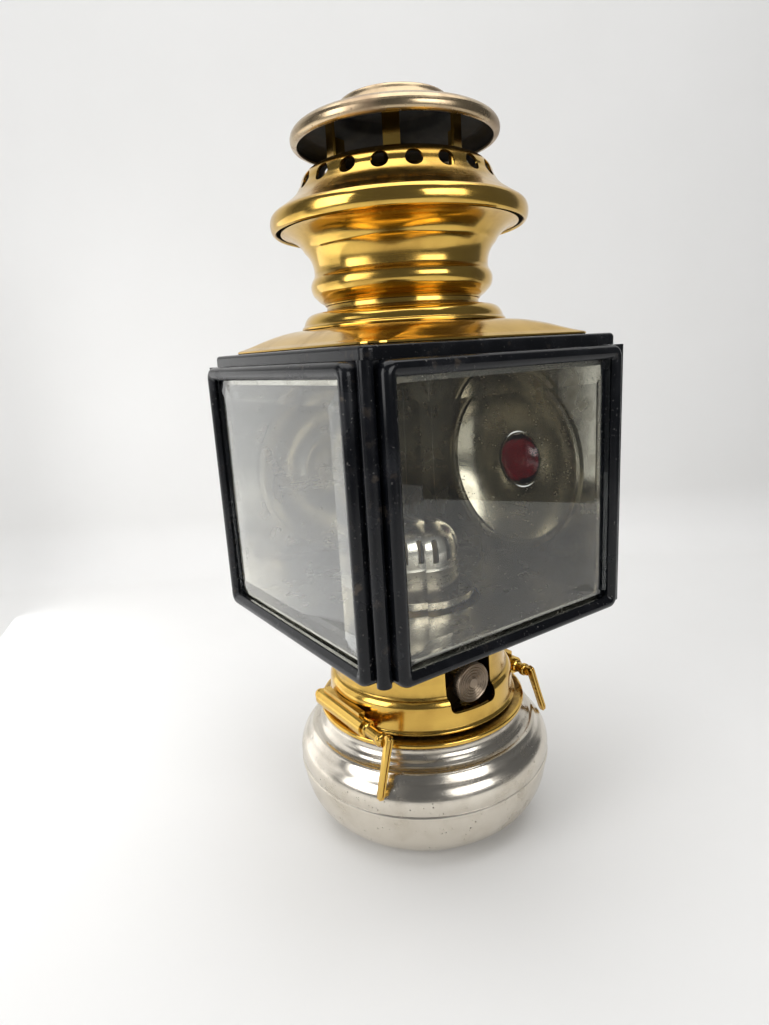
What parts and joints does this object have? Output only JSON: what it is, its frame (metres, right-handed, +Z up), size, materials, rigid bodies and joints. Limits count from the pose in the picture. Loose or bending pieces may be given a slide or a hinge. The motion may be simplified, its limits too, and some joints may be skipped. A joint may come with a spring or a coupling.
{
  "type": "oil side lamp",
  "caption": "Square two-window oil side lamp: brass vented chimney and cap, black body with bevelled glass, red tail jewel, flat-wick burner, nickelled round font held by cam latches",
  "frame": {"origin": "on the lamp axis at the underside of the font, on the surface the lamp stands on", "axes": "+Z up; -X is the front window, -Y the side window, +X the tail wall with the red jewel, +Y the wall with the bracket"},
  "size_m": [0.1262, 0.1452, 0.2767],
  "materials": {
    "nickel": "aged nickel plate, lightly pitted and yellowed",
    "mirror_nickel": "polished nickel reflector, dulled with age",
    "brass": "polished brass with brown tarnish in the corners",
    "cap_brass": "heat-tarnished brass",
    "burner_brass": "dull burner brass",
    "bronze": "dark bronzed",
    "wick_cotton": "woven cotton",
    "black_paint": "gloss black stove enamel, worn at edges",
    "sooty_steel": "sooted sheet",
    "window_glass": "clear bevelled plate glass",
    "ruby_glass": "deep red moulded glass"
  },
  "bodies": {
    "font": {"font_bowl": "nickel", "font_top": "nickel", "throat_ring": "brass", "burner_collar": "burner_brass", "burner_body": "burner_brass", "wick_tube": "burner_brass", "gallery_ring": "nickel", "burner_skirt": "nickel", "burner_dome": "nickel"},
    "wick_turner": {"wick_shaft": "burner_brass", "wick_wheel": "bronze"},
    "wick": {"wick": "wick_cotton"},
    "lantern": {"base_collar": "brass", "latch_barrel_front": "brass", "latch_barrel_tail": "brass", "floor_plate": "nickel", "corner_post_near": "black_paint", "corner_post_right": "black_paint", "corner_post_left": "black_paint", "corner_post_far": "black_paint", "tail_wall": "black_paint", "bracket_wall": "black_paint", "frame_side": "black_paint", "frame_front": "black_paint", "glass_side": "window_glass", "glass_front": "window_glass", "glazing_side": "nickel", "glazing_front": "nickel", "top_cornice": "black_paint", "ceiling_plate": "nickel", "roof": "brass", "chimney_base": "brass", "chimney_bell": "brass", "vent_crown": "brass", "spider_ring": "brass", "cap_post_1": "brass", "cap_post_2": "brass", "cap_post_3": "brass", "cap_post_4": "brass", "cap_post_5": "brass", "cap_post_6": "brass", "cap": "cap_brass", "inner_flue": "sooty_steel", "reflector_tail": "mirror_nickel", "reflector_bracket": "mirror_nickel", "cover_tail": "black_paint", "cover_bracket": "black_paint", "tail_jewel": "ruby_glass", "jewel_bezel": "brass", "bracket_strap": "black_paint", "bracket_socket": "black_paint"},
    "latch_front": {"latch_pin_front": "brass", "latch_lever_front": "brass"},
    "latch_tail": {"latch_pin_tail": "brass", "latch_lever_tail": "brass"}
  },
  "joints": [
    {"name": "lantern_lift", "type": "slide", "parent": "font", "child": "lantern", "axis": [0, 0, 1], "range_m": [0, 0.08]},
    {"name": "wick_turn", "type": "hinge", "parent": "font", "child": "wick_turner", "pos_m": [-0.0012, 0, 0.066], "axis": [0, -1, 0], "range_deg": [-79, 105]},
    {"name": "wick_rise", "type": "slide", "parent": "font", "child": "wick", "axis": [0, 0, 1], "range_m": [-0.004, 0.003]},
    {"name": "latch_front_turn", "type": "hinge", "parent": "lantern", "child": "latch_front", "pos_m": [-0.0392, 0, 0.0535], "axis": [0, 1, 0], "range_deg": [0, 95]},
    {"name": "latch_tail_turn", "type": "hinge", "parent": "lantern", "child": "latch_tail", "pos_m": [0.0392, 0, 0.0535], "axis": [0, -1, 0], "range_deg": [0, 95]}
  ],
  "couplings": [
    {"joint": "wick_turn", "follows": "wick_rise", "rad_per_m": -454.55}
  ]
}
